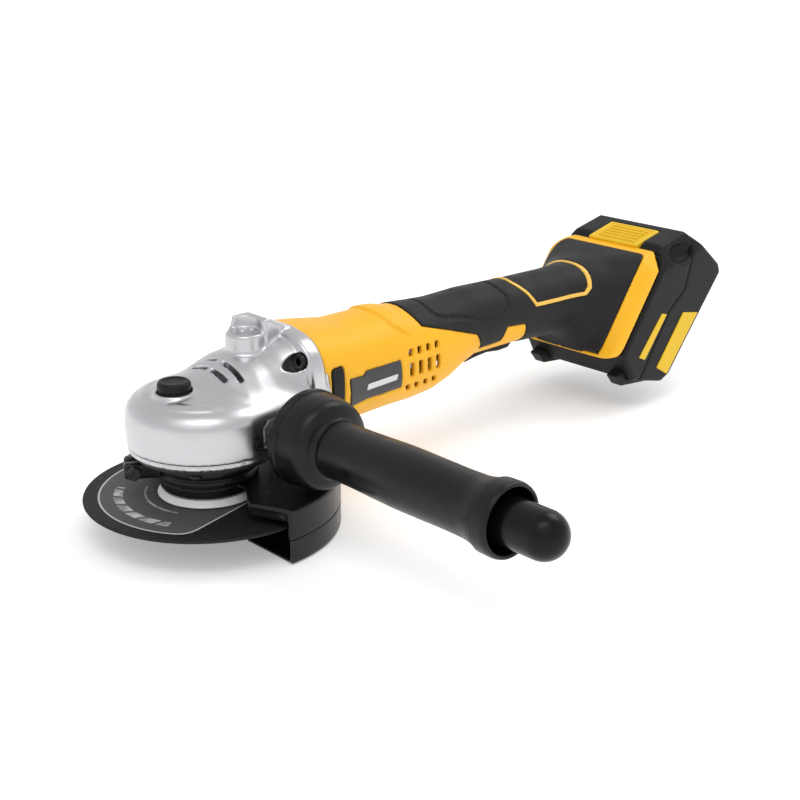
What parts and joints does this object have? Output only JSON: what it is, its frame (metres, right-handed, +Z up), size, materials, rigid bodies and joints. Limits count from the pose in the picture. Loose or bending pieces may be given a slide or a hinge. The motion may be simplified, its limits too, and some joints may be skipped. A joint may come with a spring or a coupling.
{
  "type": "angle grinder",
  "caption": "Cordless angle grinder with a bevel-geared spindle, cutting disc, turnable clip-on guard, side handle, trigger grip and slide-on battery pack.",
  "frame": {"origin": "centre of the spindle's free end face", "axes": "+Z runs up the spindle from its free end, +X runs back along the grip to the battery, -Y points along the side handle"},
  "size_m": [0.398, 0.2551, 0.096],
  "materials": {
    "cast_case": "satin silver casting",
    "steel": "machined",
    "bright_steel": "ground",
    "black_steel": "black painted, soft sheen",
    "abrasive": "matt resin-bonded grit",
    "yellow_plastic": "fine moulded texture",
    "black_rubber": "soft overmould",
    "black_plastic": "fine moulded texture",
    "button_yellow": "satin",
    "copper": "copper windings",
    "nylon": "natural nylon",
    "cell_wrap": "sleeved steel cells"
  },
  "bodies": {
    "head": {"gear_case": "cast_case", "case_screw_1": "black_steel", "case_screw_2": "black_steel", "case_screw_3": "black_steel", "case_screw_4": "black_steel", "bearing_cover": "black_steel", "cover_screw_1": "black_steel", "cover_screw_2": "black_steel", "cover_screw_3": "black_steel", "cover_screw_4": "black_steel", "spindle_bearing_lower": "bright_steel", "spindle_bearing_upper": "bright_steel", "lock_spring": "steel", "motor_bearing_front": "bright_steel", "motor_bearing_rear": "bright_steel", "motor_can": "steel", "motor_end_cap": "black_plastic", "housing_left": "yellow_plastic", "housing_right": "yellow_plastic", "grip_left": "black_rubber", "grip_right": "black_rubber", "trigger_pin": "steel", "trigger_spring": "steel", "switch": "black_plastic", "foot_stripe": "yellow_plastic", "battery_mount": "black_plastic", "terminal_block": "black_plastic", "handle_stud": "steel", "handle_core": "black_plastic", "handle_grip": "black_rubber", "housing_screw_1": "black_steel", "housing_screw_2": "black_steel", "housing_screw_3": "black_steel", "housing_screw_4": "black_steel"},
    "output": {"spindle": "steel", "ring_gear": "steel", "inner_flange": "bright_steel", "cutting_disc": "abrasive", "flange_nut": "black_steel"},
    "rotor": {"motor_shaft": "steel", "pinion": "steel", "fan": "nylon", "armature": "copper"},
    "guard": {"guard_shell": "black_steel", "guard_collar": "black_steel", "clamp_screw": "black_steel", "guard_cover": "black_steel"},
    "spindle_lock": {"lock_button": "black_plastic", "lock_pin": "steel"},
    "trigger_lever": {"trigger": "black_plastic"},
    "safety": {"safety_catch": "black_plastic"},
    "battery": {"pack_front": "black_plastic", "pack_rear": "black_plastic", "cell_block": "cell_wrap", "skid_left": "black_rubber", "skid_right": "black_rubber", "pack_spring": "steel", "pack_bar_left": "button_yellow", "pack_bar_right": "button_yellow"},
    "battery_release": {"pack_button": "button_yellow"}
  },
  "joints": [
    {"name": "spindle_spin", "type": "hinge", "parent": "head", "child": "output", "pos_m": [0, 0, 0], "axis": [0, 0, 1], "continuous": true},
    {"name": "rotor_spin", "type": "hinge", "parent": "head", "child": "rotor", "pos_m": [0, 0, 0.052], "axis": [1, 0, 0], "continuous": true},
    {"name": "guard_turn", "type": "hinge", "parent": "head", "child": "guard", "pos_m": [0, 0, 0.02], "axis": [0, 0, 1], "range_deg": [-90, 90]},
    {"name": "spindle_lock_press", "type": "slide", "parent": "head", "child": "spindle_lock", "axis": [0, 0, -1], "range_m": [0, 0.0034], "stiffness_N_per_m": 600, "springref_m": -0.003, "deforming": ["lock_spring"]},
    {"name": "trigger_pull", "type": "hinge", "parent": "head", "child": "trigger_lever", "pos_m": [0.166, 0, 0.0446], "axis": [0, -1, 0], "range_deg": [0, 7], "stiffness_Nm_per_rad": 0.4, "springref_deg": -11.46, "deforming": ["trigger_spring"]},
    {"name": "safety_press", "type": "hinge", "parent": "head", "child": "safety", "pos_m": [0.1536, 0, 0.0446], "axis": [0, 1, 0], "range_deg": [0, 8], "stiffness_Nm_per_rad": 0.15, "springref_deg": -11.46},
    {"name": "battery_slide", "type": "slide", "parent": "head", "child": "battery", "axis": [0.5736, 0, 0.8192], "range_m": [0, 0.07]},
    {"name": "battery_release_press", "type": "slide", "parent": "battery", "child": "battery_release", "axis": [0.2426, 0, -0.9701], "range_m": [0, 0.0025], "stiffness_N_per_m": 600, "springref_m": -0.003, "deforming": ["pack_spring"]}
  ],
  "couplings": [
    {"joint": "rotor_spin", "follows": "spindle_spin", "ratio": 3}
  ]
}
